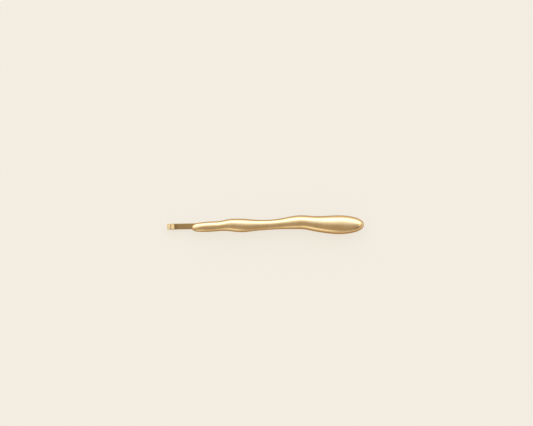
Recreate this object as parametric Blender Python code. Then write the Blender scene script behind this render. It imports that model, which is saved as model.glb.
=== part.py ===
"""A metal hair slide: a flat spring strip folded double, with a cast wave ornament soldered on it.

Metres, +Z up. +X points to the ornament's broad head and -X to the fold of the strip. The origin
is under the middle of the slide, on the surface that its lower leg rests on.
"""

from math import cos, pi, radians, sin, tan

import bmesh
import bpy
import numpy as np

# Whole slide
CLIP_LENGTH = 0.0600

# Spring strip, a flattened wire. It follows the ornament's middle line, which is turned a little
# from the slide's own X, and crosses the slide's middle this far to the -Y side. So it runs under
# the slide's centre of mass, and the slide lies steady on it.
STRIP_WIDTH = 0.0018
STRIP_THICKNESS = 0.00045
STRIP_TURN = radians(1.0)
STRIP_MIDDLE_Y = -0.00008
LEG_GAP = 0.00070

# Fold loop: how far it stands above the upper leg, the slope of its top, the crease where that
# meets the upper leg, and the straight run from the crease to the seam
LOOP_LIFT = 0.00045
LOOP_LEAN = radians(24)
CREASE_RADIUS = 0.0005
FOLD_RUN = 0.00015
SEAM_GAP = 0.00005

# Open ends of the legs, each set back from the slide's head end
UPPER_END_SETBACK = 0.0045
LOWER_END_SETBACK = 0.0018

# Lower leg, from its tip back to the fold: the flick down from the grip crest, which stops clear
# of the surface below, the run up to the crest, and the crimps
TIP_LIFT = 0.0003
TIP_FLICK_LENGTH = 0.0065
GRIP_RUN = 0.0077
GRIP_CLEARANCE = 0.0001
CRIMP_PITCH = 0.0080
CRIMP_RISE = 0.0005
CRIMP_COUNT = 3
TIP_SPARE_WIDTH = 0.0001

# Wave ornament: the length of the slide that it leaves bare at the fold end, and its own sizes. Its
# width rounds off over the end lengths, and its dome comes down over the climb lengths.
BARE_LENGTH = 0.0075
HEAD_WIDTH = 0.0058
HEAD_HEIGHT = 0.0026
RIM_HEIGHT = 0.00045
RIM_INSET = 0.00035
HEAD_END_LENGTH = 0.0075
TAIL_END_LENGTH = 0.0026
HEAD_CLIMB_LENGTH = 0.0032
TAIL_CLIMB_LENGTH = 0.0045
END_FULLNESS = 2.2

# Solder pads: one set back from the ornament's tail, one from the upper leg's open end
SOLDER_TAIL_SETBACK = 0.0035
SOLDER_HEAD_SETBACK = 0.0025
SOLDER_LENGTH = 0.0070
SOLDER_WIDTH = 0.0015
SOLDER_THICKNESS = 0.00010
SOLDER_CLEARANCE = 0.00004
SOLDER_CORNER_RADIUS = 0.0005

# The ornament's stations, tail to head: the place as a share of its length, the +Y and -Y edges as
# shares of half the head's width, the height as a share of the head's height, and the lean of the
# crest as a share of the half width there
STATION_SHARES = (
    (0.000, 0.170, -0.745, 0.62, 0.00),
    (0.050, 0.235, -0.748, 0.63, 0.01),
    (0.100, 0.330, -0.750, 0.64, 0.02),
    (0.170, 0.420, -0.655, 0.70, 0.04),
    (0.215, 0.590, -0.665, 0.76, 0.08),
    (0.260, 0.640, -0.755, 0.79, 0.04),
    (0.310, 0.620, -0.770, 0.78, 0.00),
    (0.355, 0.550, -0.680, 0.72, 0.00),
    (0.425, 0.510, -0.560, 0.66, 0.01),
    (0.515, 0.660, -0.470, 0.70, 0.00),
    (0.565, 0.840, -0.457, 0.78, 0.02),
    (0.610, 0.970, -0.460, 0.86, 0.03),
    (0.655, 0.990, -0.490, 0.91, 0.04),
    (0.700, 0.930, -0.645, 0.93, 0.05),
    (0.770, 0.930, -0.860, 0.96, -0.01),
    (0.840, 0.990, -0.985, 1.00, -0.04),
    (0.900, 0.980, -0.980, 0.98, -0.05),
    (1.000, 0.970, -0.970, 0.86, -0.05),
)

# Mesh counts
STRIP_EDGE_STEPS = 3
LOOP_STEPS = 26
CREASE_STEPS = 5
CRIMP_STEPS = 12
TIP_STEPS = 24
BODY_SECTIONS = 48
END_SECTIONS = 9
DOME_STEPS = 22
RIM_STEPS = 4
SOLDER_CORNER_STEPS = 4
SMOOTH_ANGLE = radians(35)

# Places worked out from the sizes above
FOLD_END_X = -CLIP_LENGTH / 2
HEAD_END_X = CLIP_LENGTH / 2
LOWER_LEG_Z = STRIP_THICKNESS / 2
UPPER_LEG_Z = LOWER_LEG_Z + LEG_GAP + STRIP_THICKNESS
UPPER_LEG_TOP = UPPER_LEG_Z + STRIP_THICKNESS / 2
UPPER_END_X = HEAD_END_X - UPPER_END_SETBACK
LOOP_RADIUS = (UPPER_LEG_Z - LOWER_LEG_Z + LOOP_LIFT) / 2
LOOP_CENTRE_X = FOLD_END_X + STRIP_THICKNESS / 2 + LOOP_RADIUS
LOOP_CENTRE_Z = LOWER_LEG_Z + LOOP_RADIUS
LEAN_X = LOOP_CENTRE_X + LOOP_RADIUS * sin(LOOP_LEAN)
LEAN_Z = LOOP_CENTRE_Z + LOOP_RADIUS * cos(LOOP_LEAN)
CREASE_X = LEAN_X + (LEAN_Z - UPPER_LEG_Z) / tan(LOOP_LEAN) + CREASE_RADIUS * tan(LOOP_LEAN / 2)
SEAM_X = CREASE_X + FOLD_RUN
TIP_X = HEAD_END_X - LOWER_END_SETBACK
GRIP_X = TIP_X - TIP_FLICK_LENGTH
LAST_CRIMP_X = GRIP_X - GRIP_RUN
FIRST_CRIMP_X = LAST_CRIMP_X - CRIMP_COUNT * CRIMP_PITCH
ORNAMENT_LENGTH = CLIP_LENGTH - BARE_LENGTH
TAIL_X = FOLD_END_X + BARE_LENGTH
HALF_HEAD = HEAD_WIDTH / 2
BOND_GAP = SOLDER_THICKNESS + 2 * SOLDER_CLEARANCE
BACK_Z = UPPER_LEG_TOP + BOND_GAP
SOLDER_TAIL_X = TAIL_X + SOLDER_TAIL_SETBACK + SOLDER_LENGTH / 2
SOLDER_HEAD_X = UPPER_END_X - SOLDER_HEAD_SETBACK - SOLDER_LENGTH / 2

SATIN_GOLD = (0.83, 0.62, 0.34, 1.0)
POLISHED_GOLD = (0.78, 0.57, 0.29, 1.0)
SOLDER_GOLD = (0.66, 0.55, 0.38, 1.0)


def clear_scene():
    """Removes every object, so that the script can run again in an open file."""
    for thing in list(bpy.data.objects):
        bpy.data.objects.remove(thing, do_unlink=True)


def new_collection(name):
    """An empty collection of this name, linked to the scene."""
    old = bpy.data.collections.get(name)
    if old:
        bpy.data.collections.remove(old)
    made = bpy.data.collections.new(name)
    bpy.context.scene.collection.children.link(made)
    return made


def metal(name, colour, roughness):
    """A metallic Principled material."""
    material = bpy.data.materials.new(name)
    material.use_nodes = True
    shader = material.node_tree.nodes["Principled BSDF"]
    shader.inputs["Base Color"].default_value = colour
    shader.inputs["Roughness"].default_value = roughness
    shader.inputs["Metallic"].default_value = 1.0
    return material


def new_empty(name, place, parent, collection):
    """An empty at a place in its parent's frame."""
    empty = bpy.data.objects.new(name, None)
    collection.objects.link(empty)
    empty.empty_display_size = STRIP_WIDTH
    seat(empty, place, parent)
    return empty


def seat(thing, place, parent):
    """Puts an object at a place in its parent's frame."""
    thing.parent = parent
    thing.location = place


def smooth_shading(mesh):
    """Smooth faces, with sharp edges only where the surface really turns a corner."""
    mesh.shade_smooth()
    mesh.set_sharp_from_angle(angle=SMOOTH_ANGLE)


def smooth_curve(places, values, wanted):
    """The natural cubic spline through the points (places, values), read at the wanted places."""
    places = np.asarray(places, float)
    values = np.asarray(values, float)
    steps = np.diff(places)
    slopes = np.diff(values) / steps
    matrix = np.eye(len(places))
    right = np.zeros(len(places))
    for i in range(1, len(places) - 1):
        matrix[i, i - 1 : i + 2] = steps[i - 1], 2 * (steps[i - 1] + steps[i]), steps[i]
        right[i] = 6 * (slopes[i] - slopes[i - 1])
    bends = np.linalg.solve(matrix, right)
    span = np.clip(np.searchsorted(places, wanted, side="right") - 1, 0, len(steps) - 1)
    start, step = places[span], steps[span]
    before = wanted - start
    after = start + step - wanted
    curve = (bends[span] * after**3 + bends[span + 1] * before**3) / (6 * step)
    first = (values[span] / step - bends[span] * step / 6) * after
    last = (values[span + 1] / step - bends[span + 1] * step / 6) * before
    return curve + first + last


def strip_curve(name, path, pivot, collection):
    """A length of the strip as a curve object.

    The path is a list of (X, Z) points in the strip's frame. The curve lies in its object's XY
    plane, which is stood up so that its Y runs up along Z and its extrusion across the strip. The
    object's origin is at the pivot, an (X, Z) place.
    """
    curve = bpy.data.curves.new(name, "CURVE")
    curve.dimensions = "3D"
    curve.twist_mode = "Z_UP"
    curve.fill_mode = "FULL"
    curve.use_fill_caps = True
    curve.bevel_depth = STRIP_THICKNESS / 2
    curve.extrude = (STRIP_WIDTH - STRIP_THICKNESS) / 2
    curve.bevel_resolution = STRIP_EDGE_STEPS
    spline = curve.splines.new("POLY")
    spline.points.add(len(path) - 1)
    for point, (x, z) in zip(spline.points, path):
        point.co = (x - pivot[0], z - pivot[1], 0, 1)
    made = bpy.data.objects.new(name, curve)
    collection.objects.link(made)
    made.rotation_euler.x = pi / 2
    return made


def as_mesh(curve_object, collection):
    """Turns a curve object into a mesh object of the same name, with its caps welded on."""
    bpy.context.view_layer.update()
    graph = bpy.context.evaluated_depsgraph_get()
    mesh = bpy.data.meshes.new_from_object(curve_object.evaluated_get(graph))
    work = bmesh.new()
    work.from_mesh(mesh)
    bmesh.ops.remove_doubles(work, verts=work.verts, dist=SEAM_GAP / 100)
    work.to_mesh(mesh)
    work.free()
    name, place = curve_object.name, curve_object.matrix_world.copy()
    bpy.data.objects.remove(curve_object, do_unlink=True)
    made = bpy.data.objects.new(name, mesh)
    collection.objects.link(made)
    made.matrix_world = place
    return made


def strip_piece(name, path, pivot, place, parent, material, collection):
    """A length of the strip as a mesh object, its pivot at a place in its parent's frame."""
    made = as_mesh(strip_curve(name, path, pivot, collection), collection)
    seat(made, place, parent)
    smooth_shading(made.data)
    made.data.materials.append(material)
    return made


def round_tip(piece, tip_x, strip_frame, collection):
    """Rounds the end of a leg, seen from above, by keeping what lies inside a round-ended outline.

    The outline's arc is a little wider than the strip, so its straight sides stay off the strip.
    """
    radius = STRIP_WIDTH / 2 + TIP_SPARE_WIDTH
    centre_x = tip_x - radius
    start_x = SEAM_X - STRIP_WIDTH
    angles = np.linspace(-pi / 2, pi / 2, TIP_STEPS + 1)
    outline = [(centre_x + radius * cos(a), radius * sin(a)) for a in angles]
    outline += [(start_x, radius), (start_x, -radius)]
    curve = bpy.data.curves.new(piece.name + "_outline", "CURVE")
    curve.dimensions = "2D"
    curve.fill_mode = "BOTH"
    curve.extrude = UPPER_LEG_TOP
    spline = curve.splines.new("POLY")
    spline.points.add(len(outline) - 1)
    for point, (x, y) in zip(spline.points, outline):
        point.co = (x, y, 0, 1)
    spline.use_cyclic_u = True
    guide = bpy.data.objects.new(curve.name, curve)
    collection.objects.link(guide)
    cutter = as_mesh(guide, collection)
    seat(cutter, (0, 0, UPPER_LEG_Z), strip_frame)
    cutter.hide_render = True
    cutter.display_type = "WIRE"
    cut = piece.modifiers.new("round tip", "BOOLEAN")
    cut.operation = "INTERSECT"
    cut.object = cutter


def loop_path():
    """Centre line of the fold: in from the upper leg, over the raised loop, out to the lower leg."""
    crease_z = UPPER_LEG_Z + CREASE_RADIUS
    path = [(SEAM_X, UPPER_LEG_Z)]
    for turn in np.linspace(0, LOOP_LEAN, CREASE_STEPS + 1):
        path.append((CREASE_X - CREASE_RADIUS * sin(turn), crease_z - CREASE_RADIUS * cos(turn)))
    for turn in np.linspace(LOOP_LEAN, -pi, LOOP_STEPS + 1):
        path.append((LOOP_CENTRE_X + LOOP_RADIUS * sin(turn), LOOP_CENTRE_Z + LOOP_RADIUS * cos(turn)))
    path.append((SEAM_X, LOWER_LEG_Z))
    return path


def lower_leg_path():
    """Centre line of the lower leg: a flat run, the crimps, the grip crest and the flicked tip."""
    grip_rise = LEG_GAP - GRIP_CLEARANCE
    path = [(SEAM_X + SEAM_GAP, LOWER_LEG_Z)]
    for share in np.linspace(0, CRIMP_COUNT, CRIMP_COUNT * CRIMP_STEPS + 1):
        rise = CRIMP_RISE * (1 - cos(2 * pi * share)) / 2
        path.append((FIRST_CRIMP_X + CRIMP_PITCH * share, LOWER_LEG_Z + rise))
    for share in np.linspace(0, 1, CRIMP_STEPS + 1)[1:]:
        rise = grip_rise * (1 - cos(pi * share)) / 2
        path.append((LAST_CRIMP_X + GRIP_RUN * share, LOWER_LEG_Z + rise))
    for share in np.linspace(0, 1, CRIMP_STEPS + 1)[1:]:
        rise = TIP_LIFT + (grip_rise - TIP_LIFT) * (1 + cos(pi * share)) / 2
        path.append((GRIP_X + TIP_FLICK_LENGTH * share, LOWER_LEG_Z + rise))
    return path


def ornament_places():
    """Distances of the sections from the tail end, drawn closer together towards both ends."""
    turns = np.linspace(0, pi / 2, END_SECTIONS + 1)
    tail = TAIL_END_LENGTH * (1 - np.cos(turns))
    head = ORNAMENT_LENGTH - HEAD_END_LENGTH * (1 - np.cos(turns[::-1]))
    middle = np.linspace(tail[-1], head[0], BODY_SECTIONS + 1)
    return np.concatenate([tail, middle[1:-1], head])


def end_rounding(places, end_length):
    """How much of its full size a section keeps: 1, but for a quarter of a superellipse at each end.

    The superellipse is a circle or ellipse made a little blunter by a power above 2.
    """
    kept = np.ones_like(places)
    for inward, length in ((places, end_length[0]), (ORNAMENT_LENGTH - places, end_length[1])):
        reach = np.clip(1 - inward / length, 0, 1)
        kept *= (1 - reach**END_FULLNESS) ** (1 / END_FULLNESS)
    return kept


def ornament_sections():
    """Points of the ornament's sections, as an array of sections by ring points by (X, Y, Z).

    Each ring goes over the dome from the +Y rim to the -Y rim, and back under the flat back. The
    dome is half an ellipse whose crest leans sideways, and each rim is a quarter ellipse below it.
    """
    places = ornament_places()
    table = np.array(STATION_SHARES)
    shares = places / ORNAMENT_LENGTH
    upper, lower, height, lean = (smooth_curve(table[:, 0], table[:, k], shares) for k in range(1, 5))
    plan = end_rounding(places, (TAIL_END_LENGTH, HEAD_END_LENGTH))
    climb = end_rounding(places, (TAIL_CLIMB_LENGTH, HEAD_CLIMB_LENGTH))
    rim = end_rounding(places, (RIM_INSET, RIM_INSET))
    middle = HALF_HEAD * (upper + lower) / 2
    half = HALF_HEAD * (upper - lower) / 2 * plan
    dome = (HEAD_HEIGHT * height - RIM_HEIGHT) * climb
    over = np.linspace(0, pi, DOME_STEPS + 1)
    under = np.linspace(0, pi / 2, RIM_STEPS + 1)[1:]
    dome_y = half[:, None] * (np.cos(over) + lean[:, None] * np.sin(over) ** 2)
    dome_z = RIM_HEIGHT + dome[:, None] * np.sin(over)
    rim_y = half[:, None] - RIM_INSET * rim[:, None] * (1 - np.cos(under))
    rim_z = RIM_HEIGHT * (1 - rim[:, None] * np.sin(under))
    y = middle[:, None] + np.hstack([dome_y, -rim_y, rim_y[:, ::-1]])
    z = BACK_Z + np.hstack([dome_z, rim_z, rim_z[:, ::-1]])
    x = np.broadcast_to(TAIL_X + places[:, None], y.shape)
    return np.stack([x, y, z], axis=2)


def loft(name, sections):
    """A closed mesh through rings of points, whose first and last rings have shrunk to a point."""
    count, ring = sections.shape[:2]
    body = sections[1:-1].reshape(-1, 3)
    ends = np.array([sections[0, 0], sections[-1, 0]])
    tail, head = len(body), len(body) + 1
    faces = []
    for i in range(count - 3):
        for j in range(ring):
            a, b = i * ring + j, i * ring + (j + 1) % ring
            faces.append((a, b, b + ring, a + ring))
    last = (count - 3) * ring
    for j in range(ring):
        after = (j + 1) % ring
        faces.append((tail, after, j))
        faces.append((head, last + j, last + after))
    mesh = bpy.data.meshes.new(name)
    mesh.from_pydata(np.vstack([body, ends]).tolist(), [], faces)
    work = bmesh.new()
    work.from_mesh(mesh)
    bmesh.ops.recalc_face_normals(work, faces=work.faces)
    work.to_mesh(mesh)
    work.free()
    return mesh


def build_ornament(parent, material, collection):
    """The cast ornament: a loft through unlike sections, with a flat back."""
    mesh = loft("wave_ornament", ornament_sections())
    made = bpy.data.objects.new("wave_ornament", mesh)
    collection.objects.link(made)
    seat(made, (0, 0, 0), parent)
    smooth_shading(mesh)
    mesh.materials.append(material)
    return made


def build_solder_pad(name, middle_x, parent, material, collection):
    """A thin round-cornered pad between the upper leg and the ornament's back."""
    bpy.ops.mesh.primitive_cube_add(size=1)
    made = bpy.context.object
    made.name = name
    made.data.name = name
    made.data.transform(np.diag((SOLDER_LENGTH, SOLDER_WIDTH, SOLDER_THICKNESS, 1)).tolist())
    for owner in list(made.users_collection):
        owner.objects.unlink(made)
    collection.objects.link(made)
    seat(made, (middle_x, 0, UPPER_LEG_TOP + BOND_GAP / 2), parent)
    work = bmesh.new()
    work.from_mesh(made.data)
    upright = [e for e in work.edges if e.verts[0].co.xy == e.verts[1].co.xy]
    bmesh.ops.bevel(
        work,
        geom=upright,
        offset=SOLDER_CORNER_RADIUS,
        segments=SOLDER_CORNER_STEPS,
        profile=0.5,
        affect="EDGES",
    )
    work.to_mesh(made.data)
    work.free()
    smooth_shading(made.data)
    made.data.materials.append(material)
    return made


def main():
    """Builds the slide's pieces, with the lower leg under an empty on the fold's axis."""
    clear_scene()
    parts = new_collection("hair_slide")
    cutters = new_collection("hair_slide_cutters")
    satin = metal("satin_gold_casting", SATIN_GOLD, 0.28)
    polished = metal("polished_gold_strip", POLISHED_GOLD, 0.14)
    solder = metal("gold_solder", SOLDER_GOLD, 0.40)

    slide = new_empty("slide_frame", (0, 0, 0), None, parts)
    build_ornament(slide, satin, parts)

    strip = new_empty("strip_frame", (0, STRIP_MIDDLE_Y, 0), slide, parts)
    strip.rotation_euler.z = STRIP_TURN
    build_solder_pad("solder_tail", SOLDER_TAIL_X, strip, solder, parts)
    build_solder_pad("solder_head", SOLDER_HEAD_X, strip, solder, parts)

    start = (SEAM_X, UPPER_LEG_Z)
    path = [(SEAM_X + SEAM_GAP, UPPER_LEG_Z), (UPPER_END_X + STRIP_WIDTH, UPPER_LEG_Z)]
    upper_leg = strip_piece("upper_leg", path, start, (SEAM_X, 0, UPPER_LEG_Z), strip, polished, parts)
    round_tip(upper_leg, UPPER_END_X, strip, cutters)

    axis = (LOOP_CENTRE_X, LOOP_CENTRE_Z)
    axis_place = (LOOP_CENTRE_X, 0, LOOP_CENTRE_Z)
    strip_piece("fold_loop", loop_path(), axis, axis_place, strip, polished, parts)

    hinge = new_empty("fold_axis", axis_place, strip, parts)
    lower_leg = strip_piece("lower_leg", lower_leg_path(), axis, (0, 0, 0), hinge, polished, parts)
    round_tip(lower_leg, TIP_X, strip, cutters)


main()
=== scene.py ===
"""A gold hair slide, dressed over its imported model.

A flat spring strip is folded double into an upper leg and a crimped lower leg, and a cast ornament
that flows in soft waves is soldered on the upper leg. Metres. +X points along the slide to the
ornament's broad head, and +Z up out of its domed front. The camera looks straight down on it.
"""

import logging
from dataclasses import astuple, dataclass, field
from enum import Enum
from math import cos, pi, radians, sin, tan

import bpy
import numpy as np
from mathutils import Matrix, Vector


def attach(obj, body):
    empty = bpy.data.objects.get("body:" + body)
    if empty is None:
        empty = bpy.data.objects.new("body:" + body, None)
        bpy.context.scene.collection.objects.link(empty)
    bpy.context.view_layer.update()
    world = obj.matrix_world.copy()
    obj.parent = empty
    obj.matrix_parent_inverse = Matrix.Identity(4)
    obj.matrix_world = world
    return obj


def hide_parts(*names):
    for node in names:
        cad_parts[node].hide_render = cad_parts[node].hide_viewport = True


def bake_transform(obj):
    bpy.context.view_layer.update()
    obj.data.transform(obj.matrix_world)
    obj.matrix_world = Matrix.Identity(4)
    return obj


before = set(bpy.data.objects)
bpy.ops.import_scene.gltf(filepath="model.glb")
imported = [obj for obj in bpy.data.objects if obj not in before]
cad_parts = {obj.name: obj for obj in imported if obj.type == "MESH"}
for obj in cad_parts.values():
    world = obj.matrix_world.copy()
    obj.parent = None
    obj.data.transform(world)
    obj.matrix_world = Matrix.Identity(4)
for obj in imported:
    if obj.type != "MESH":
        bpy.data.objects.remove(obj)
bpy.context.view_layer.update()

LOG = logging.getLogger("hair_slide")
MM = 0.001

Pair = tuple[float, float]
Colour = tuple[float, float, float]
Place = tuple[float, float, float]
Array = np.ndarray
Material = bpy.types.Material
Object = bpy.types.Object
Socket = bpy.types.NodeSocket
WHOLE = (0.0, 1.0)
CLOUD_SPAN = (0.35, 0.65)  # where most of a coarse noise lies
GRAIN_SPAN = (0.3, 0.7)  # where most of a fine noise lies
TINY = 1e-15  # keeps a length that is divided by from being 0


class Body(Enum):
    """The two bodies that the fold's hinge joins."""

    LOWER_SIDE = "lower_side"
    UPPER_SIDE = "upper_side"


class Slot(Enum):
    """The record's material slots."""

    SATIN_GOLD = "satin_gold"
    POLISHED_GOLD = "polished_gold"
    GOLD_SOLDER = "gold_solder"


class Easing(Enum):
    """How a value is carried from one range to another."""

    EVEN = "LINEAR"
    SOFT = "SMOOTHSTEP"


# Surfaces on grids, and their attributes.


def quarter_rounding(inward: Array, length: float, fullness: float = 2.0) -> Array:
    """How much of its full size a section keeps near an end.

    The share is (1 - r^n)^(1/n), where r falls from 1 at the end to 0 at a length inwards: a
    quarter of a circle or ellipse for n of 2, and of a blunter curve for a larger n.

    Args:
        inward: Distances in from the end.
        length: The distance over which the section grows to its full size.
        fullness: The power n.

    Returns:
        Shares from 0 to 1, one for each distance.
    """
    reach = np.clip(1 - inward / length, 0, 1)
    return (1 - reach**fullness) ** (1 / fullness)


def eased_places(length: float, end_lengths: Pair, counts: tuple[int, int, int]) -> Array:
    """Distances along a piece, drawn closer together towards its two ends as cosines.

    Args:
        length: The piece's length.
        end_lengths: The lengths of its two rounded ends.
        counts: Steps in the first end, in the middle and in the last end.

    Returns:
        Distances from 0 to the length.
    """
    first = end_lengths[0] * (1 - np.cos(np.linspace(0, pi / 2, counts[0] + 1)))
    last = length - end_lengths[1] * (1 - np.cos(np.linspace(pi / 2, 0, counts[2] + 1)))
    middle = np.linspace(first[-1], last[0], counts[1] + 1)
    return np.concatenate([first, middle[1:-1], last])


def natural_spline(places: Array, values: Array, wanted: Array) -> Array:
    """The natural cubic spline through points, read at the wanted places.

    Its second derivatives solve the usual three-term system, with 0 at both ends.

    Args:
        places: Places of the points, increasing.
        values: Values at the points.
        wanted: Where the curve is read.

    Returns:
        The curve's values at the wanted places.
    """
    steps = np.diff(places)
    slopes = np.diff(values) / steps
    inner = 2 * (steps[:-1] + steps[1:])
    matrix = np.diag([1.0, *inner, 1.0])
    matrix += np.diag([*steps[:-1], 0.0], -1)
    matrix += np.diag([0.0, *steps[1:]], 1)
    bends = np.linalg.solve(matrix, [0.0, *(6 * np.diff(slopes)), 0.0])
    span = np.clip(np.searchsorted(places, wanted, side="right") - 1, 0, len(steps) - 1)
    step = steps[span]
    before = wanted - places[span]
    after = step - before
    curve = (bends[span] * after**3 + bends[span + 1] * before**3) / (6 * step)
    curve += (values[span] / step - bends[span] * step / 6) * after
    return curve + (values[span + 1] / step - bends[span + 1] * step / 6) * before


def closed_surface(name: str, rings: Array, flat_ends: tuple[bool, bool]) -> Object:
    """A closed mesh over a grid of rings, with a point at each end.

    Quads join each ring to the next, and a fan of triangles joins each end ring to its mean. The
    fan of a flat end keeps a sharp edge.

    Args:
        name: The object's name.
        rings: Points as sections by ring points by XYZ.
        flat_ends: Whether the first and the last end are flat cuts.

    Returns:
        The object, linked to the scene.
    """
    count, around = rings.shape[:2]
    grid = np.arange(count * around).reshape(count, around)
    after = np.roll(grid, -1, axis=1)
    quads = np.stack([grid[:-1], after[:-1], after[1:], grid[1:]], axis=-1).reshape(-1, 4)
    first, last = count * around, count * around + 1
    points = np.vstack([rings.reshape(-1, 3), rings[0].mean(0), rings[-1].mean(0)])
    head = np.stack([np.full(around, first), after[0], grid[0]], axis=-1)
    tail = np.stack([np.full(around, last), grid[-1], after[-1]], axis=-1)
    if signed_volume(points, quads, head, tail) < 0:
        quads, head, tail = quads[:, ::-1], head[:, ::-1], tail[:, ::-1]
    mesh = bpy.data.meshes.new(name)
    mesh.from_pydata(points, [], [*quads.tolist(), *head.tolist(), *tail.tolist()])
    mesh.validate()
    mesh.shade_smooth()
    sharpen_flat_ends(mesh, [grid[k] for k, flat in zip((0, -1), flat_ends) if flat])
    return linked(name, mesh)


def linked(name: str, data: bpy.types.ID) -> Object:
    """A new object, linked to the scene.

    Args:
        name: The object's name.
        data: Its mesh, lamp or camera.

    Returns:
        The object, at the origin.
    """
    made = bpy.data.objects.new(name, data)
    bpy.context.scene.collection.objects.link(made)
    return made


def signed_volume(points: Array, quads: Array, *fans: Array) -> float:
    """Six times the volume that the faces enclose, negative where they point inwards.

    Args:
        points: The mesh's points.
        quads: Faces of four points, each taken as two triangles.
        fans: Faces of three points.

    Returns:
        The sum of the triangles' triple products.
    """
    triangles = np.vstack([quads[:, [0, 1, 2]], quads[:, [0, 2, 3]], *fans])
    a, b, c = (points[triangles[:, k]] for k in range(3))
    return float(np.einsum("ij,ij->", a, np.cross(b, c)))


def sharpen_flat_ends(mesh: bpy.types.Mesh, rings: list[Array]) -> None:
    """Marks the edges round a flat cut sharp.

    Args:
        mesh: The mesh, whose points number as in its grid.
        rings: The point numbers of each flat end's ring.
    """
    if not rings:
        return
    ends = np.empty(2 * len(mesh.edges), np.int32)
    mesh.edges.foreach_get("vertices", ends)
    ends = ends.reshape(-1, 2)
    sharp = np.zeros(len(ends), bool)
    for ring in rings:
        sharp |= np.isin(ends, ring).all(axis=1)
    attribute = mesh.attributes.new("sharp_edge", "BOOLEAN", "EDGE")
    attribute.data.foreach_set("value", sharp)


def keep_attribute(mesh: bpy.types.Mesh, name: str, values: Array) -> None:
    """Stores a number or a vector for each point of the mesh, for its material to read.

    Args:
        mesh: The mesh from a grid of rings and its two end points.
        name: The attribute's name.
        values: Sections by ring points, with a last axis of three for vectors.
    """
    kind, part = ("FLOAT_VECTOR", "vector") if values.ndim == 3 else ("FLOAT", "value")
    ends = values[[0, -1]].mean(axis=1)
    kept = np.concatenate([values.ravel(), ends.ravel()]).astype(np.float32)
    mesh.attributes.new(name, kind, "POINT").data.foreach_set(part, kept)


# Finishes, and the node trees they are made of.


class NodeGraph:
    """A node tree, with short calls to add nodes and join them."""

    def __init__(self, tree: bpy.types.NodeTree) -> None:
        """Takes the tree that the calls work on."""
        self.tree = tree

    def add(self, kind: str, **settings: object) -> bpy.types.Node:
        """Adds a node.

        Args:
            kind: The node's type, without the words ShaderNode.
            settings: Its properties, and its input sockets' values under in_NAME.

        Returns:
            The node.
        """
        node = self.tree.nodes.new("ShaderNode" + kind)
        for key, value in settings.items():
            if key.startswith("in_"):
                node.inputs[key[3:].replace("_", " ")].default_value = value
            else:
                setattr(node, key, value)
        return node

    def join(self, source: Socket, target: Socket) -> None:
        """Joins an output socket to an input socket."""
        self.tree.links.new(source, target)

    def noise(self, vector: Socket, scale: float, detail: float) -> Socket:
        """A noise pattern.

        Args:
            vector: Where the pattern is read.
            scale: Waves per unit of the vector.
            detail: Octaves of finer noise.

        Returns:
            The pattern, about 0.3 to 0.7.
        """
        node = self.add("TexNoise", in_Scale=scale, in_Detail=detail)
        self.join(vector, node.inputs["Vector"])
        return node.outputs["Fac"]

    def stretched(self, vector: Socket, scale: Place) -> Socket:
        """A vector with each of its parts scaled.

        Args:
            vector: The vector.
            scale: A number for each part.

        Returns:
            The scaled vector.
        """
        node = self.add("Mapping", in_Scale=scale)
        self.join(vector, node.inputs["Vector"])
        return node.outputs["Vector"]

    def between(
        self, value: Socket, span: Pair, onto: Pair = WHOLE, easing: Easing = Easing.EVEN
    ) -> Socket:
        """A value carried from one range to another, and held at its ends.

        Args:
            value: The value.
            span: The start and end of its own range.
            onto: What they become.
            easing: How it goes from the one to the other.

        Returns:
            The new value.
        """
        node = self.add("MapRange", interpolation_type=easing.value)
        self.join(value, node.inputs["Value"])
        for name, number in zip(("From Min", "From Max", "To Min", "To Max"), (*span, *onto)):
            node.inputs[name].default_value = number
        return node.outputs["Result"]

    def sum(self, first: Socket, second: Socket, kind: str = "Math") -> Socket:
        """The sum of two values or vectors.

        Args:
            first: The one.
            second: The other.
            kind: The node's type: Math for values, VectorMath for vectors.

        Returns:
            The sum.
        """
        node = self.add(kind, operation="ADD")
        self.join(first, node.inputs[0])
        self.join(second, node.inputs[1])
        return node.outputs[0]

    def scaled(self, vector: Socket, size: Socket) -> Socket:
        """A vector times a number.

        Args:
            vector: The vector.
            size: The number.

        Returns:
            The product.
        """
        node = self.add("VectorMath", operation="SCALE")
        self.join(vector, node.inputs["Vector"])
        self.join(size, node.inputs["Scale"])
        return node.outputs["Vector"]

    def mixed(self, share: Socket, first: Socket | Colour, last: Colour) -> Socket:
        """A colour that goes from the first to the last with the share.

        Args:
            share: The share of the last colour, 0 to 1.
            first: A plain colour, or an output with one.
            last: A plain colour.

        Returns:
            The mixed colour.
        """
        node = self.add("Mix", data_type="RGBA")
        if isinstance(first, tuple):
            node.inputs["A"].default_value = (*first, 1.0)
        else:
            self.join(first, node.inputs["A"])
        node.inputs["B"].default_value = (*last, 1.0)
        self.join(share, node.inputs["Factor"])
        return node.outputs["Result"]

    def bumped(self, height: Socket, depth: float) -> Socket:
        """A normal that a height pattern leans.

        Args:
            height: The pattern, 0 to 1.
            depth: How high 1 stands, in metres.

        Returns:
            The leaned normal.
        """
        node = self.add("Bump", in_Strength=1.0, in_Distance=depth)
        self.join(height, node.inputs["Height"])
        return node.outputs["Normal"]

    def attribute(self, name: str) -> Socket:
        """The number in one of the mesh's own attributes."""
        return self.add("Attribute", attribute_name=name).outputs["Fac"]


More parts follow.
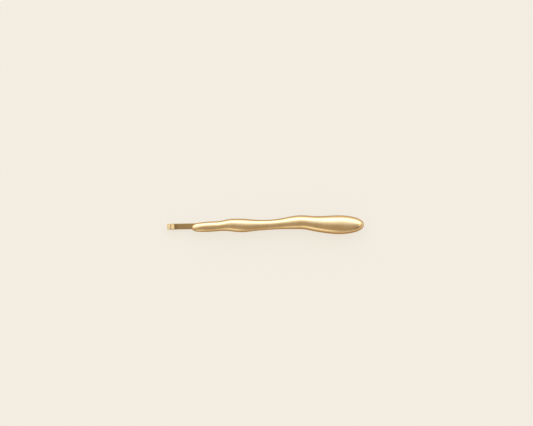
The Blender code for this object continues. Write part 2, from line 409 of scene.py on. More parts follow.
class FinishGraph(NodeGraph):
    """A material's node tree, which starts with its shader and its output."""

    def __init__(self, name: str) -> None:
        """Starts the material.

        Args:
            name: The material's name.
        """
        self.material = bpy.data.materials.new(name)
        self.material.use_nodes = True
        super().__init__(self.material.node_tree)
        self.shader = self.tree.nodes["Principled BSDF"]

    def object_place(self) -> Socket:
        """Each point's place on the piece."""
        return self.add("TexCoord").outputs["Object"]

    def metal(self, tone: Socket, roughness: Socket, normal: Socket) -> Material:
        """Makes the shader a metal.

        Args:
            tone: The metal's colour.
            roughness: Its roughness.
            normal: Its leaned normal.

        Returns:
            The material.
        """
        for name, source in (("Base Color", tone), ("Roughness", roughness), ("Normal", normal)):
            self.join(source, self.shader.inputs[name])
        self.shader.inputs["Metallic"].default_value = 1.0
        return self.material


@dataclass(frozen=True)
class SatinGold:
    """Gold plating on a tumbled and softly brushed casting, paler and smoother where it is rubbed."""

    deep: Colour = (0.87, 0.600, 0.310)
    light: Colour = (0.90, 0.645, 0.350)
    rubbed: Colour = (0.93, 0.70, 0.41)
    # Painted shade: this colour darkens the ornament's steep sides and rim, most on the -Y flank away
    # from the light.
    side: Colour = (0.40, 0.205, 0.035)
    roughness: Pair = (0.22, 0.30)
    rubbed_share: float = 0.6
    cloud_size: float = 4.0 * MM
    grain_size: float = 0.12 * MM
    grain_depth: float = 0.0022 * MM
    grain_roughness: Pair = (-0.02, 0.02)

    def build(self) -> Material:
        """Clouds of tone, a fine satin grain, a crest rubbed paler and painted shade on the sides.

        Returns:
            The material.
        """
        graph = FinishGraph("satin_gold_casting")
        place = graph.object_place()
        cloud = graph.noise(place, 1 / self.cloud_size, 3)
        grain = graph.noise(place, 1 / self.grain_size, 2)
        tone = graph.mixed(graph.between(cloud, CLOUD_SPAN), self.deep, self.light)
        worn = graph.between(graph.attribute("worn"), WHOLE, (0, self.rubbed_share))
        tone = graph.mixed(worn, tone, self.rubbed)
        # Painted shade mixed in on the sides and rim.
        tone = graph.mixed(graph.attribute("side"), tone, self.side)
        rough = graph.sum(
            graph.between(cloud, CLOUD_SPAN, self.roughness),
            graph.between(grain, GRAIN_SPAN, self.grain_roughness),
        )
        return graph.metal(tone, rough, graph.bumped(grain, self.grain_depth))


@dataclass(frozen=True)
class DrawnGold:
    """Polished gold plating on rolled spring wire, with fine lines along it and duller bends."""

    deep: Colour = (0.69, 0.440, 0.190)
    light: Colour = (0.75, 0.490, 0.225)
    # Painted shade: this colour darkens the strip's rounded edges.
    edge: Colour = (0.50, 0.310, 0.125)
    # Painted highlight: this paler colour lightens the fold's bends, as if they caught more light.
    drawn: Colour = (0.90, 0.68, 0.38)
    # Painted shade: this colour darkens the crease and the fold's tight inside bends, and the upper leg
    # just past the crease.
    painted_crease_shade: Colour = (0.34, 0.205, 0.080)
    edge_shade_most: float = 0.85
    highlight_bend: float = 0.6
    roughness: Pair = (0.12, 0.20)
    bend_roughness: float = 0.22
    cloud_scale: Place = (300.0, 900.0, 900.0)
    line_width: float = 0.06 * MM
    line_length: float = 6.0 * MM
    line_depth: float = 0.0015 * MM

    def build(self) -> Material:
        """Rolling lines that follow the strip, painted shade on the edges and in the crease, and bends
        that are duller and made paler by a painted highlight.

        The clouds' scale is in waves per metre along and across the strip.

        Returns:
            The material.
        """
        graph = FinishGraph("drawn_gold_strip")
        place = graph.add("Attribute", attribute_name="strip_place").outputs["Vector"]
        across = 1 / self.line_width
        lines = graph.noise(graph.stretched(place, (1 / self.line_length, across, across)), 1.0, 2)
        cloud = graph.noise(graph.stretched(place, self.cloud_scale), 1.0, 3)
        bend = graph.attribute("bend")
        tone = graph.mixed(graph.between(cloud, CLOUD_SPAN), self.deep, self.light)
        # Painted highlight: the bends are made paler.
        tone = graph.mixed(graph.between(bend, (0, self.highlight_bend)), tone, self.drawn)
        # Painted shade on the strip's rounded edges.
        edge = graph.between(graph.attribute("edge"), WHOLE, (0, self.edge_shade_most))
        tone = graph.mixed(edge, tone, self.edge)
        # Painted shade in the crease and the fold's tight inside bends.
        tone = graph.mixed(graph.attribute("painted_crease_shade"), tone, self.painted_crease_shade)
        rough = graph.sum(
            graph.between(lines, GRAIN_SPAN, self.roughness),
            graph.between(bend, WHOLE, (0, self.bend_roughness)),
        )
        return graph.metal(tone, rough, graph.bumped(lines, self.line_depth))


@dataclass(frozen=True)
class PlatedSolder:
    """Plated solder: a duller, slightly grey gold with small pits."""

    deep: Colour = (0.52, 0.40, 0.25)
    light: Colour = (0.68, 0.54, 0.35)
    roughness: Pair = (0.50, 0.32)
    pit_size: float = 0.25 * MM
    pit_depth: float = 0.012 * MM

    def build(self) -> Material:
        """A mottled tone with a pitted, lumpy face.

        Returns:
            The material.
        """
        graph = FinishGraph("plated_solder")
        pits = graph.noise(graph.object_place(), 1 / self.pit_size, 4)
        tone = graph.mixed(graph.between(pits, CLOUD_SPAN), self.deep, self.light)
        rough = graph.between(pits, CLOUD_SPAN, self.roughness)
        return graph.metal(tone, rough, graph.bumped(pits, self.pit_depth))


@dataclass(frozen=True)
class CreamTable:
    """A plain pale table top, warm white and matt."""

    tone: Colour = (0.903, 0.847, 0.750)
    shade: Colour = (0.893, 0.836, 0.738)
    fleck_size: float = 0.6 * MM
    roughness: float = 0.75
    specular: float = 0.2
    evenness: float = 0.86

    def build(self) -> Material:
        """An even warm white with the faintest fleck.

        A share of what the camera, metal and glass see of it is its own plain colour, so that its
        shadows stay but are faint.

        Returns:
            The material.
        """
        graph = FinishGraph("cream_table")
        shader, nodes = graph.shader, graph.tree.nodes
        fleck = graph.noise(graph.object_place(), 1 / self.fleck_size, 2)
        tone = graph.mixed(graph.between(fleck, GRAIN_SPAN), self.tone, self.shade)
        graph.join(tone, shader.inputs["Base Color"])
        shader.inputs["Roughness"].default_value = self.roughness
        shader.inputs["Specular IOR Level"].default_value = self.specular
        rays = graph.add("LightPath")
        seen = graph.sum(rays.outputs["Is Camera Ray"], rays.outputs["Is Glossy Ray"])
        seen = graph.sum(seen, rays.outputs["Is Transmission Ray"])
        plain = graph.add("Emission", in_Color=(*self.tone, 1.0))
        blend = graph.add("MixShader")
        graph.join(graph.between(seen, WHOLE, (0, self.evenness)), blend.inputs["Fac"])
        graph.join(shader.outputs["BSDF"], blend.inputs[1])
        graph.join(plain.outputs["Emission"], blend.inputs[2])
        graph.join(blend.outputs["Shader"], nodes["Material Output"].inputs["Surface"])
        return graph.material


# The spring strip: upper leg, fold and lower leg.


@dataclass(frozen=True)
class StripSizes:
    """Sizes of the flattened and folded spring wire, in a frame with X along it and Z up.

    The frame is turned a little about the slide's Z.
    """

    width: float = 1.8 * MM
    thickness: float = 0.45 * MM
    edge_depth: float = 0.07 * MM
    crown: float = 0.008 * MM
    turn: float = radians(1.0)
    middle_y: float = -0.08 * MM
    fold_end_x: float = -30.0 * MM
    upper_end_x: float = 25.5 * MM
    tip_x: float = 28.2 * MM
    leg_gap: float = 0.7 * MM
    loop_lift: float = 0.45 * MM
    loop_lean: float = radians(24)
    crease_radius: float = 0.5 * MM
    fold_run: float = 0.15 * MM
    # How far along the upper leg, and how strongly, the crease's painted shade runs on.
    crease_shade_length: float = 2.4 * MM
    crease_shade_strength: float = 0.95
    tip_lift: float = 0.3 * MM
    tip_flick: float = 6.5 * MM
    grip_run: float = 7.7 * MM
    grip_clearance: float = 0.1 * MM
    crimp_pitch: float = 8.0 * MM
    crimp_rise: float = 0.5 * MM
    crimp_count: int = 3
    tip_round: float = 0.9 * MM
    tip_fullness: float = 2.2

    @property
    def lower_z(self) -> float:
        """Height of the lower leg's middle."""
        return self.thickness / 2

    @property
    def upper_z(self) -> float:
        """Height of the upper leg's middle."""
        return self.lower_z + self.leg_gap + self.thickness

    @property
    def loop_radius(self) -> float:
        """Radius of the fold's middle line."""
        return (self.upper_z - self.lower_z + self.loop_lift) / 2

    @property
    def loop_centre(self) -> Pair:
        """X and Z of the fold's centre, which the hinge's axis goes through."""
        return self.fold_end_x + self.thickness / 2 + self.loop_radius, self.lower_z + self.loop_radius

    @property
    def crease_x(self) -> float:
        """X where the crease ends and the flat upper leg begins."""
        centre_x, centre_z = self.loop_centre
        lean_x = centre_x + self.loop_radius * sin(self.loop_lean)
        lean_z = centre_z + self.loop_radius * cos(self.loop_lean)
        slope_run = (lean_z - self.upper_z) / tan(self.loop_lean)
        return lean_x + slope_run + self.crease_radius * tan(self.loop_lean / 2)

    @property
    def seam_x(self) -> float:
        """X where the legs meet the fold."""
        return self.crease_x + self.fold_run

    def placed(self, points: Array) -> Array:
        """Points of the strip's frame in the slide's frame.

        Args:
            points: Points with a last axis of XYZ.

        Returns:
            The points, turned about Z and moved across.
        """
        c, s = cos(self.turn), sin(self.turn)
        x, y, z = points[..., 0], points[..., 1], points[..., 2]
        return np.stack([x * c - y * s, x * s + y * c + self.middle_y, z], axis=-1)


class StripEnd(Enum):
    """How a length of the strip ends, away from the seam that it starts at."""

    FLUSH = "meets the next length with a flat cut"
    ROUND = "a tip rounded from above and eased all round"


@dataclass
class StripLength:
    """One length of the strip, carried along its middle line."""

    name: str
    sizes: StripSizes
    middle: Array
    end: StripEnd
    body: Body | None
    around_edge: int = 14
    across_face: int = 12
    tight_bends: Pair = (0.3, 0.8)
    edge_shade_span: Pair = (0.62, 0.92)
    bend_spread: float = 1.2

    def runs(self) -> Array:
        """Distance along the middle line at each of its points."""
        steps = np.hypot(*np.diff(self.middle, axis=0).T)
        return np.concatenate([[0.0], np.cumsum(steps)])

    def bend(self, run: Array) -> Array:
        """How sharply the middle line bends, as the strip's thickness over the bend's radius.

        Args:
            run: Distance along the middle line.

        Returns:
            One number for each point, at most 1, where the bend's radius is the thickness, and
            negative where the line bends the other way.
        """
        tangent = np.gradient(self.middle, run, axis=0)
        angle = np.unwrap(np.arctan2(tangent[:, 1], tangent[:, 0]))
        return np.clip(np.gradient(angle, run) * self.sizes.thickness, -1, 1)

    def painted_crease_shade(self, place: Array, bent: Array) -> Array:
        """How much painted shade each point has in a tight inside bend, more the tighter the bend.

        Args:
            place: Each point's place on the strip.
            bent: How sharply the middle line bends there.

        Returns:
            Shares from 0 to 1, on the side that faces the bend's centre.
        """
        facing = np.clip(place[..., 2] / (self.sizes.thickness / 2) * np.sign(bent), 0, 1)
        first, last = self.tight_bends
        return np.clip((np.abs(bent) - first) / (last - first), 0, 1) * facing

    def shade_beside_crease(self, place: Array) -> Array:
        """How far the crease's painted shade runs on over the upper leg's top face beside it.

        The share is (1 - d)^3 of its strongest, where d is the distance past the crease over the
        shade's length.

        Args:
            place: Each point's place on the strip.

        Returns:
            Shares from 0 to 1.
        """
        sizes = self.sizes
        past = (self.middle[:, 0] - sizes.crease_x) / sizes.crease_shade_length
        on_leg = (past >= 0) & (self.middle[:, 1] > sizes.loop_centre[1])
        share = np.where(on_leg, np.clip(1 - past, 0, 1) ** 3, 0)
        return sizes.crease_shade_strength * share[:, None] * np.clip(place[..., 2] / (sizes.thickness / 2), 0, 1)

    def section(self) -> Array:
        """The strip's section in shares: two half ellipses at the edges and two faces between them.

        The first column is the place across the flat faces, and the others are the cosine and sine
        round the edge.

        Returns:
            Rows of face place from -1 to 1, cosine and sine.
        """
        edge = np.linspace(-pi / 2, pi / 2, self.around_edge + 1)
        face = np.linspace(1, -1, self.across_face + 1)[1:-1]
        right = np.stack([np.ones_like(edge), np.cos(edge), np.sin(edge)], axis=1)
        top = np.stack([face, np.zeros_like(face), np.ones_like(face)], axis=1)
        half = np.vstack([right, top])
        return np.vstack([half, -half])

    def rings(self) -> tuple[Array, Array, Array, Array]:
        """The strip's points: its section carried along the middle line, square to it.

        At a round tip the width shrinks as a quarter of a blunt ellipse and the thickness as a
        quarter of a circle. The faces are crowned: their middle stands proud by the crown. The painted
        shade on the edges comes in over a band of places across, and the less so the sharper the bend
        is.

        Returns:
            The rings, and for each point its place on the strip, its share of painted edge shade and
            its bend.
        """
        sizes, run = self.sizes, self.runs()
        inward = (run[-1] - run)[:, None]
        half_width = np.full_like(inward, sizes.width / 2)
        half_thick = np.full_like(inward, sizes.thickness / 2)
        if self.end is StripEnd.ROUND:
            half_width *= quarter_rounding(inward, sizes.tip_round, sizes.tip_fullness)
            half_thick *= quarter_rounding(inward, sizes.thickness / 2)
        tangent = np.gradient(self.middle, run, axis=0)
        tangent /= np.hypot(*tangent.T)[:, None]
        face, cosine, sine = self.section().T
        edge = sizes.edge_depth * half_thick / half_thick.max()
        across = face * np.maximum(half_width - edge, 0) + cosine * np.minimum(edge, half_width)
        share = across / np.maximum(half_width, TINY)
        crown = sizes.crown * (half_thick / half_thick.max())
        up = sine * (half_thick - crown * share**2)
        x = self.middle[:, :1] - tangent[:, 1:] * up
        z = self.middle[:, 1:] + tangent[:, :1] * up
        place = np.stack([np.broadcast_to(run[:, None], up.shape), across, up], axis=-1)
        bent = np.broadcast_to(self.bend(run)[:, None], up.shape)
        # Painted shade on the rounded edges, less in sharp bends.
        first, last = self.edge_shade_span
        edge_shade_share = np.clip((np.abs(share) - first) / (last - first), 0, 1)
        edge_shade_share = edge_shade_share * np.clip(1 - self.bend_spread * np.abs(bent), 0, 1)
        return sizes.placed(np.stack([x, across, z], axis=-1)), place, edge_shade_share, bent

    def build(self, finish: Material) -> Object:
        """The length as a dressed piece on its body.

        Args:
            finish: The strip's material.

        Returns:
            The piece.
        """
        rings, place, edge_shade_share, bent = self.rings()
        # Painted shade in the tight inside bends, and running on just past the crease.
        painted_crease_shade = np.maximum(self.painted_crease_shade(place, bent), self.shade_beside_crease(place))
        flat = self.end is StripEnd.FLUSH
        inner = slice(None if flat else -1)
        made = closed_surface(self.name, rings[inner], (True, flat))
        kept = {"strip_place": place, "edge": edge_shade_share, "bend": np.abs(bent), "painted_crease_shade": painted_crease_shade}
        for name, values in kept.items():
            keep_attribute(made.data, name, values[inner])
        made.data.materials.append(finish)
        if self.body:
            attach(made, self.body.value)
        return made


@dataclass
class SpringStrip:
    """The folded strip: a straight upper leg, a raised closed fold and a crimped lower leg."""

    sizes: StripSizes = field(default_factory=StripSizes)
    finish: DrawnGold = field(default_factory=DrawnGold)
    upper_steps: tuple[int, int, int] = (8, 110, 20)
    lower_steps: tuple[int, int, int] = (2, 420, 20)
    crease_steps: int = 16
    loop_steps: int = 120
    run_steps: int = 12

    def leg_places(self, end_x: float, steps: tuple[int, int, int]) -> Array:
        """Places along a leg, from the seam to its round end."""
        seam_x, tip_round = self.sizes.seam_x, self.sizes.tip_round
        return seam_x + eased_places(end_x - seam_x, (tip_round, tip_round), steps)

    def fold_line(self) -> Array:
        """Middle line of the fold: the crease's small arc, then the loop's, tangent to both legs.

        Returns:
            Rows of X and Z, from the upper seam to the lower one.
        """
        sizes = self.sizes
        centre_x, centre_z = sizes.loop_centre
        turn = np.linspace(0, sizes.loop_lean, self.crease_steps + 1)
        crease_x = sizes.crease_x - sizes.crease_radius * np.sin(turn)
        crease_z = sizes.upper_z + sizes.crease_radius * (1 - np.cos(turn))
        turn = np.linspace(sizes.loop_lean, -pi, self.loop_steps + 1)
        loop_x = centre_x + sizes.loop_radius * np.sin(turn)
        loop_z = centre_z + sizes.loop_radius * np.cos(turn)
        crease, loop = np.stack([crease_x, crease_z], axis=1), np.stack([loop_x, loop_z], axis=1)
        share = np.linspace(0, 1, self.run_steps + 1)[1:, None]
        end = loop[-1] + share * (np.array([sizes.seam_x, sizes.lower_z]) - loop[-1])
        return np.vstack([[sizes.seam_x, sizes.upper_z], crease, loop, end])

    def lower_leg_rise(self, x: Array) -> Array:
        """Height of the lower leg's middle line above its flat run.

        Three whole cosine waves are the crimps. Half a cosine wave climbs to the grip crest, and
        half of one comes down to the tip, which stays clear of the table.

        Args:
            x: Places along the strip.

        Returns:
            Heights.
        """
        sizes = self.sizes
        grip_x = sizes.tip_x - sizes.tip_flick
        last_x = grip_x - sizes.grip_run
        first_x = last_x - sizes.crimp_count * sizes.crimp_pitch
        crest = sizes.leg_gap - sizes.grip_clearance
        waves = sizes.crimp_rise * (1 - np.cos(2 * pi * (x - first_x) / sizes.crimp_pitch)) / 2
        climb = crest * (1 - np.cos(pi * (x - last_x) / sizes.grip_run)) / 2
        fall = (1 + np.cos(pi * (x - grip_x) / sizes.tip_flick)) / 2
        flick = sizes.tip_lift + (crest - sizes.tip_lift) * fall
        return np.select([x < first_x, x < last_x, x < grip_x], [np.zeros_like(x), waves, climb], flick)

    def build(self) -> list[Object]:
        """The strip's three lengths. The upper leg is straight, and the fold lies between the legs on
        neither body.

        Returns:
            The pieces.
        """
        finish, sizes = self.finish.build(), self.sizes
        upper_side, lower_side = Body.UPPER_SIDE, Body.LOWER_SIDE
        x = self.leg_places(sizes.upper_end_x, self.upper_steps)
        upper = np.stack([x, np.full_like(x, sizes.upper_z)], axis=1)
        x = self.leg_places(sizes.tip_x, self.lower_steps)
        lower = np.stack([x, sizes.lower_z + self.lower_leg_rise(x)], axis=1)
        lengths = (
            StripLength("strip_upper_leg", sizes, upper, StripEnd.ROUND, upper_side),
            StripLength("strip_lower_leg", sizes, lower, StripEnd.ROUND, lower_side),
            StripLength("strip_fold", sizes, self.fold_line(), StripEnd.FLUSH, None),
        )
        made = [length.build(finish) for length in lengths]
        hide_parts("upper_leg")
        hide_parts("lower_leg")
        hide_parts("fold_loop")
        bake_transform(made[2])
        return made


# The cast ornament.


@dataclass(frozen=True)
class Station:
    """One station of the ornament.

    The place is a share of its length, the two edges are shares of half the head's width, the
    height is a share of the head's height, and the lean moves the crest sideways, as a share of
    the half width there.
    """

    place: float
    upper_edge: float
    lower_edge: float
    height: float
    lean: float


@dataclass
class WaveOrnament:
    """The cast ornament: a flat back and a domed front that flows from narrow tail to broad head."""

    tail_x: float = -22.5 * MM
    head_x: float = 30.0 * MM
    back_z: float = 1.78 * MM
    head_width: float = 5.8 * MM
    head_height: float = 2.6 * MM
    rim_height: float = 0.45 * MM
    rim_inset: float = 0.35 * MM
    tail_round: float = 2.6 * MM
    head_round: float = 7.5 * MM
    tail_climb: float = 4.5 * MM
    head_climb: float = 3.2 * MM
    end_fullness: float = 2.2
    inside: float = 0.9998
    # Where the painted shade on the sides and rim lies and how strong it is; lit_side keeps it lighter
    # on the lit +Y flank.
    shade_start_tilt: float = radians(47)
    shade_tilt_band: float = radians(18)
    flank_lead: float = radians(8)
    lit_side: float = 0.7
    rim_shade_width: float = 0.56 * MM
    rim_shade_lead: float = 0.35
    rim_shade_strength: float = 0.85
    ripple: float = 0.006 * MM
    ripple_x: Pair = (1.7 * MM, 3.1 * MM)
    ripple_y: Pair = (1.1 * MM, 0.9 * MM)
    ripple_sway: float = 1.3
    rub: float = 0.3
    rub_power: int = 6
    steps: tuple[int, int, int] = (36, 300, 56)
    around_dome: int = 96
    around_rim: int = 14
    across_back: int = 12
    finish: SatinGold = field(default_factory=SatinGold)
    stations: tuple[Station, ...] = (
        Station(0.000, 0.170, -0.745, 0.62, 0.00),
        Station(0.050, 0.235, -0.748, 0.63, 0.01),
        Station(0.100, 0.330, -0.750, 0.64, 0.02),
        Station(0.170, 0.420, -0.655, 0.70, 0.04),
        Station(0.215, 0.590, -0.665, 0.76, 0.08),
        Station(0.260, 0.640, -0.755, 0.79, 0.04),
        Station(0.310, 0.620, -0.770, 0.78, 0.00),
        Station(0.355, 0.550, -0.680, 0.72, 0.00),
        Station(0.425, 0.510, -0.560, 0.66, 0.01),
        Station(0.515, 0.660, -0.470, 0.70, 0.00),
        Station(0.565, 0.840, -0.457, 0.78, 0.02),
        Station(0.610, 0.970, -0.460, 0.86, 0.03),
        Station(0.655, 0.990, -0.490, 0.91, 0.04),
        Station(0.700, 0.930, -0.645, 0.93, 0.05),
        Station(0.770, 0.930, -0.860, 0.96, -0.01),
        Station(0.840, 0.990, -0.985, 1.00, -0.04),
        Station(0.900, 0.980, -0.980, 0.98, -0.05),
        Station(1.000, 0.970, -0.970, 0.86, -0.05),
    )

    def along(self, places: Array) -> tuple[Array, ...]:
        """The edges, height and lean along the ornament, as smooth curves through the stations.

        Args:
            places: Distances from the tail.

        Returns:
            The upper edge, lower edge, height and lean at each distance.
        """
        marks, *rows = np.array([astuple(station) for station in self.stations]).T
        shares = places / (self.head_x - self.tail_x)
        return tuple(natural_spline(marks, row, shares) for row in rows)

    def end_share(self, places: Array, tail: float, head: float) -> Array:
        """How much of a size is left towards the two ends.

        Args:
            places: Distances from the tail.
            tail: The length over which the size grows from nothing at the tail.
            head: The same at the head.

        Returns:
            Shares from 0 to 1, quarters of a blunt ellipse.
        """
        share = quarter_rounding(places, tail, self.end_fullness)
        return share * quarter_rounding(self.head_x - self.tail_x - places, head, self.end_fullness)

    def polish_wave(self, x: Array, y: Array) -> Array:
        """Two crossed sine waves, -1 to 1: one along X that sways with Y, and a slanted one across."""
        sway = self.ripple_sway * np.sin(y / self.ripple_y[0])
        return np.sin(x / self.ripple_x[0] + sway) * np.sin(y / self.ripple_y[1] + x / self.ripple_x[1])

    def rings(self) -> tuple[Array, Array, Array]:
        """The ornament's points, how rubbed each is and how much painted shade each has.

        Round the dome a point stands at half the width times the cosine, plus the lean times the
        squared sine, and at the dome's height times the sine. Below it each rim is a quarter of an
        ellipse, and the back between the rims is flat. Towards both ends the width, the rim and the
        dome's height shrink as quarters of a blunt ellipse, each over lengths of its own. The half
        width stays a hair inside the model's. Polishing leaves a ripple much thinner than a hair,
        and rubs the crest by a power of the sine.

        Returns:
            Rings of points, and for each point its wear and its share of painted shade, 0 to 1.
        """
        rounds = self.tail_round, self.head_round
        places = eased_places(self.head_x - self.tail_x, rounds, self.steps)[:, None]
        upper, lower, height, lean = self.along(places)
        body = self.end_share(places, *rounds)
        rim = self.end_share(places, self.rim_inset, self.rim_inset)
        climb = self.end_share(places, self.tail_climb, self.head_climb)
        half_head = self.head_width / 2
        middle = half_head * (upper + lower) / 2
        half = half_head * (upper - lower) / 2 * body * self.inside
        dome = (self.head_height * height - self.rim_height) * climb
        over = np.linspace(0, pi, self.around_dome + 1)
        under = np.linspace(0, pi / 2, self.around_rim + 1)[1:]
        dome_y = half * (np.cos(over) + lean * np.sin(over) ** 2)
        dome_z = self.rim_height + dome * np.sin(over)
        rim_y = half - self.rim_inset * rim * (1 - np.cos(under))
        rim_z = self.rim_height * (1 - rim * np.sin(under))
        back_y = rim_y[:, -1:] * np.linspace(-1, 1, self.across_back + 1)[1:-1]
        back_z = np.broadcast_to(rim_z[:, -1:], back_y.shape)
        y = middle + np.hstack([dome_y, -rim_y, back_y, rim_y[:, ::-1]])
        z = self.back_z + np.hstack([dome_z, rim_z, back_z, rim_z[:, ::-1]])
        x = np.broadcast_to(self.tail_x + places, y.shape)
        crest = np.hstack([np.sin(over), np.zeros(y.shape[1] - len(over))])
        z = z - self.ripple * (1 + self.polish_wave(x, y)) * crest * body
        worn = np.broadcast_to(self.rub * crest**self.rub_power, y.shape)
        rings = np.stack([x, y, z], axis=-1)
        slope = np.gradient(half[:, 0], places[:, 0])[:, None]
        inset = (half - np.abs(y - middle)) / np.hypot(1, slope)
        return rings, worn, self.painted_shade_share(rings, np.minimum(inset, places))

    def painted_shade_share(self, rings: Array, inset: Array) -> Array:
        """How much painted shade each point has: none on the front and all below it.

        The surface's tilt comes from the cross product of its slopes along and round the grid. The
        painted shade comes in over a band of tilts, which starts earlier on the -Y flank away from the
        light, and is lighter on the lit +Y flank. It also lies in a narrow band inside the outline,
        wider on the -Y flank.

        Args:
            rings: The ornament's points.
            inset: How far each point lies inside the outline, seen from above.

        Returns:
            Shares from 0 to 1.
        """
        along = np.gradient(rings, axis=0)
        around = np.roll(rings, -1, axis=1) - np.roll(rings, 1, axis=1)
        normal = np.cross(around, along)
        normal /= np.maximum(np.linalg.norm(normal, axis=-1, keepdims=True), TINY)
        tilt = np.arccos(np.clip(normal[..., 2], -1, 1))
        turned = np.clip(-normal[..., 1] / np.maximum(np.sin(tilt), TINY), 0, 1)
        # Painted shade: darker where the surface turns away from the light, most on the -Y flank.
        first = self.shade_start_tilt - turned * self.flank_lead
        step = np.clip((tilt - first) / self.shade_tilt_band, 0, 1)
        side = step**2 * (3 - 2 * step) * (self.lit_side + (1 - self.lit_side) * turned)
        # Painted shade in a band just inside the outline, wider on the -Y flank.
        near = np.clip(1 - inset / (self.rim_shade_width * (1 + self.rim_shade_lead * turned)), 0, 1)
        return np.maximum(side, near**2 * (3 - 2 * near) * self.rim_shade_strength)

    def build(self) -> Object:
        """The ornament as a dressed piece on the upper side.

        Returns:
            The piece.
        """
        rings, worn, side = self.rings()
        made = closed_surface("ornament_casting", rings[1:-1], (False, False))
        keep_attribute(made.data, "worn", worn[1:-1])
        # The painted shade, kept for the satin finish to mix in.
        keep_attribute(made.data, "side", side[1:-1])
        made.data.materials.append(self.finish.build())
        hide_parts("wave_ornament")
        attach(made, Body.UPPER_SIDE.value)
        return made


# The solder under the ornament.


@dataclass
class SolderJoint:
    """One of the two solder pads between the upper leg and the ornament's back."""

    name: str
    node: str
    middle_x: float
    strip: StripSizes = field(default_factory=StripSizes)
    length: float = 7.0 * MM
    width: float = 1.5 * MM
    gap: float = 0.18 * MM
    waist: float = 0.07 * MM
    bleed: float = 0.004 * MM
    bluntness: float = 6.0
    wander: float = 0.03 * MM
    lobes: tuple[int, int] = (3, 7)
    finer_share: float = 0.6
    finer_phase: float = 1.0
    around: int = 160
    up: int = 12

    def rings(self) -> Array:
        """The pad's points: round-cornered outlines from the leg up to the ornament's back.

        The outline is a superellipse of the bluntness. It is narrowest half way up, where the
        molten solder drew in between the two metals, and its rim wanders with two sines.

        Returns:
            Rings of points.
        """
        turn = np.linspace(0, 2 * pi, self.around, endpoint=False)
        rise = np.linspace(0, 1, self.up + 1)[:, None]
        coarse = np.sin(self.lobes[0] * turn + self.middle_x / MM)
        finer = np.sin(self.lobes[1] * turn + self.finer_phase)
        drawn_in = self.waist * np.sin(pi * rise) + self.wander * (coarse + self.finer_share * finer)
        power = 2 / self.bluntness
        along, across = np.cos(turn), np.sin(turn)
        x = self.middle_x + (self.length / 2 - drawn_in) * np.sign(along) * np.abs(along) ** power
        y = (self.width / 2 - drawn_in) * np.sign(across) * np.abs(across) ** power
        low = self.strip.upper_z + self.strip.thickness / 2 - self.strip.crown
        z = low - self.bleed + (self.gap + self.strip.crown + 2 * self.bleed) * rise
        return self.strip.placed(np.stack([x, y, np.broadcast_to(z, x.shape)], axis=-1))

    def build(self, finish: Material) -> Object:
        """The pad as a dressed piece on the upper side.

        Args:
            finish: The solder's material.

        Returns:
            The piece.
        """
        made = closed_surface(self.name, self.rings(), (True, True))
        made.data.materials.append(finish)
        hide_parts(self.node)
        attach(made, Body.UPPER_SIDE.value)
        return made


# The studio: table, sky, lamp and camera.


@dataclass(frozen=True)
class SkyGlow:
    """A soft bright area of the sky or, with a negative radiance, the soft shade of a dark card.

    Its angles are in degrees.
    """

    azimuth: float
    zenith: float
    core: float
    fade: float
    radiance: Colour

    def add(self, graph: NodeGraph, coords: Socket) -> Socket:
        """Adds the glow's nodes: full strength within the core angle, none beyond the fade angle.

        Args:
            graph: The sky's node tree.
            coords: The direction looked in.

        Returns:
            The glow's radiance in that direction.
        """
        middle = aim(self.azimuth, self.zenith)
        edge, full = cos(radians(self.fade)), cos(radians(self.core))
        toward = graph.add("VectorMath", operation="DOT_PRODUCT", in_Vector=middle).outputs["Value"]
        graph.join(coords, toward.node.inputs[1])
        level = graph.between(toward, (edge, full), easing=Easing.SOFT)
        tinted = graph.add("VectorMath", operation="SCALE", in_Vector=self.radiance)
        graph.join(level, tinted.inputs["Scale"])
        return tinted.outputs["Vector"]


def aim(azimuth: float, zenith: float) -> Place:
    """The direction at an azimuth from +X and an angle from straight up, in degrees."""
    turn, lean = radians(azimuth), radians(zenith)
    return cos(turn) * sin(lean), sin(turn) * sin(lean), cos(lean)


@dataclass(frozen=True)
class SoftBox:
    """A rectangular lamp that faces the slide, with its angles in degrees."""

    name: str
    azimuth: float
    zenith: float
    distance: float
    size: Pair
    radiance: float

    def build(self) -> Object:
        """The lamp, aimed at the slide. Its power is the radiance times pi times its area.

        Returns:
            The lamp's object.
        """
        lamp = bpy.data.lights.new(self.name, "AREA")
        lamp.shape = "RECTANGLE"
        lamp.size, lamp.size_y = self.size
        lamp.energy = self.radiance * pi * self.size[0] * self.size[1]
        made = linked(self.name, lamp)
        outward = Vector(aim(self.azimuth, self.zenith))
        made.location = outward * self.distance
        made.rotation_mode = "QUATERNION"
        made.rotation_quaternion = outward.to_track_quat("Z", "Y")
        made.visible_camera = False
        return made


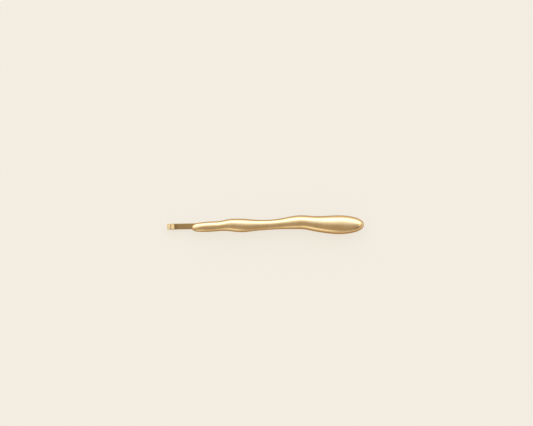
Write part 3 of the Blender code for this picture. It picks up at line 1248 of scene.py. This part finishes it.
@dataclass
class Studio:
    """A pale table, a soft sky, a soft lamp and the camera."""

    frame_width: float = 162.3 * MM
    view_centre: Pair = (0.35 * MM, 3.58 * MM)
    view_height: float = 2.2 * MM
    lens: float = 100.0
    sensor: float = 36.0
    table_size: float = 12.0
    table: CreamTable = field(default_factory=CreamTable)
    sky_stops: tuple[tuple[float, Colour], ...] = (
        (0.000, (0.890, 0.862, 0.790)),
        (0.120, (0.680, 0.645, 0.580)),
        (0.600, (0.425, 0.380, 0.310)),
        (0.900, (0.440, 0.390, 0.310)),
        (0.985, (0.450, 0.395, 0.310)),
        (1.000, (0.260, 0.215, 0.155)),
    )
    glows: tuple[SkyGlow, ...] = (
        SkyGlow(60, 60, 6, 39, (0.90, 1.15, 1.45)),
        SkyGlow(118, 60, 6, 39, (1.00, 1.25, 1.55)),
        SkyGlow(90, 50, 10, 62, (0.48, 0.60, 0.74)),
        SkyGlow(170, 46, 6, 34, (0.76, 0.85, 0.93)),
        SkyGlow(30, 66, 4, 26, (0.60, 0.70, 0.80)),
        SkyGlow(0, 48, 4, 12, (1.30, 1.32, 1.35)),
        SkyGlow(255.5, 68, 3, 17, (0.90, 1.00, 1.00)),
        SkyGlow(305, 62, 6, 30, (-0.16, -0.15, -0.12)),
    )
    glow_rise: Pair = (0.02, 0.30)
    window: SoftBox = SoftBox("window_box", 92, 54, 2.0, (1.4, 1.2), 0.25)

    def build_table(self) -> Object:
        """The table top: one flat square under the slide.

        Returns:
            The table's object.
        """
        half = self.table_size / 2
        mesh = bpy.data.meshes.new("table_top")
        corners = [(-half, -half, 0), (half, -half, 0), (half, half, 0), (-half, half, 0)]
        mesh.from_pydata(corners, [], [(0, 1, 2, 3)])
        made = linked("table_top", mesh)
        mesh.materials.append(self.table.build())
        return made

    def build_sky(self) -> bpy.types.World:
        """A sky pale at the horizon and darker overhead, with soft glows well above the horizon.

        Returns:
            The world.
        """
        world = bpy.data.worlds.new("soft_sky")
        bpy.context.scene.world = world
        world.use_nodes = True
        graph = NodeGraph(world.node_tree)
        coords = graph.add("TexCoord").outputs["Generated"]
        parts = graph.add("SeparateXYZ")
        graph.join(coords, parts.inputs[0])
        up = parts.outputs["Z"]
        ramp = graph.add("ValToRGB")
        for _ in self.sky_stops[2:]:
            ramp.color_ramp.elements.new(0.5)
        for element, (place, colour) in zip(ramp.color_ramp.elements, self.sky_stops):
            element.position = place
            element.color = (*colour, 1.0)
        graph.join(up, ramp.inputs["Fac"])
        glow = self.glows[0].add(graph, coords)
        for other in self.glows[1:]:
            glow = graph.sum(glow, other.add(graph, coords), "VectorMath")
        glow = graph.scaled(glow, graph.between(up, self.glow_rise, easing=Easing.SOFT))
        sky = graph.sum(ramp.outputs["Color"], glow, "VectorMath")
        graph.join(sky, graph.tree.nodes["Background"].inputs["Color"])
        return world

    def build_camera(self) -> Object:
        """The camera, straight above, at the distance that shows the frame's width.

        Returns:
            The camera's object.
        """
        camera = bpy.data.cameras.new("overhead_camera")
        camera.lens, camera.sensor_width = self.lens, self.sensor
        made = linked("overhead_camera", camera)
        distance = self.frame_width * self.lens / self.sensor
        made.location = (*self.view_centre, self.view_height + distance)
        bpy.context.scene.camera = made
        return made

    def build(self) -> None:
        """The whole studio."""
        self.build_table()
        self.build_sky()
        self.window.build()
        self.build_camera()
        bpy.context.scene.view_settings.view_transform = "Standard"


def report(made: list[Object]) -> None:
    """Logs each piece's name, size and triangles.

    Args:
        made: The pieces.
    """
    for piece in made:
        piece.data.calc_loop_triangles()
        size = tuple(round(d / MM, 2) for d in piece.dimensions)
        LOG.info("%s: %s mm, %d triangles", piece.name, size, len(piece.data.loop_triangles))


def write_sizes() -> None:
    """Brings the view layer up to date."""
    bpy.context.view_layer.update()


def main() -> None:
    """Builds the strip, the ornament, the solder and the studio, in that order."""
    logging.basicConfig(level=logging.INFO, format="%(name)s: %(message)s")
    strip = SpringStrip()
    made = strip.build()
    made.append(WaveOrnament().build())
    solder = PlatedSolder().build()
    made.append(SolderJoint("solder_fillet_tail", "solder_tail", -15.5 * MM, strip.sizes).build(solder))
    made.append(SolderJoint("solder_fillet_head", "solder_head", 19.5 * MM, strip.sizes).build(solder))
    Studio().build()
    report(made)
    write_sizes()


if __name__ == "__main__":
    main()
